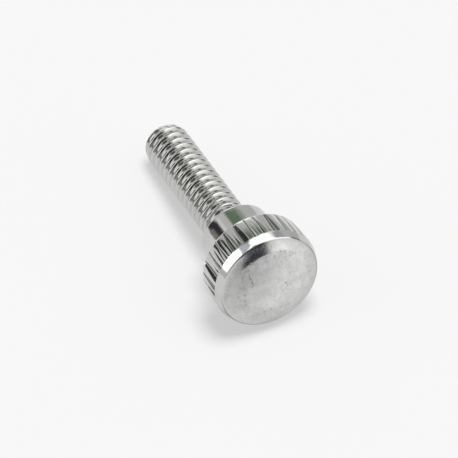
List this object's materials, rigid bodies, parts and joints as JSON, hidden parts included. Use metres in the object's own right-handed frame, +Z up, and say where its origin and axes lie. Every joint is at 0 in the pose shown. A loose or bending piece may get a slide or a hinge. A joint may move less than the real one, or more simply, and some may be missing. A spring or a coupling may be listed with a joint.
{
  "type": "thumb screw",
  "caption": "Steel thumb screw with a straight-knurled round head, a plain cylindrical shoulder and a threaded shank with a rounded tip, lying on its side.",
  "frame": {"origin": "on the surface the screw lies on, under the middle of its length and width", "axes": "+Z up. +X horizontally towards the head, so the screw's own axis lies in the XZ plane and rises 8.8 degrees from the tip to the head. +Y across it"},
  "size_m": [0.0342, 0.0146, 0.0149],
  "materials": {
    "plated_steel": "bright zinc plate over steel, polished on the shoulder and thread, slightly matte and finely pitted on the face"
  },
  "bodies": {
    "root": {"thumb_screw": "plated_steel"}
  },
  "joints": []
}
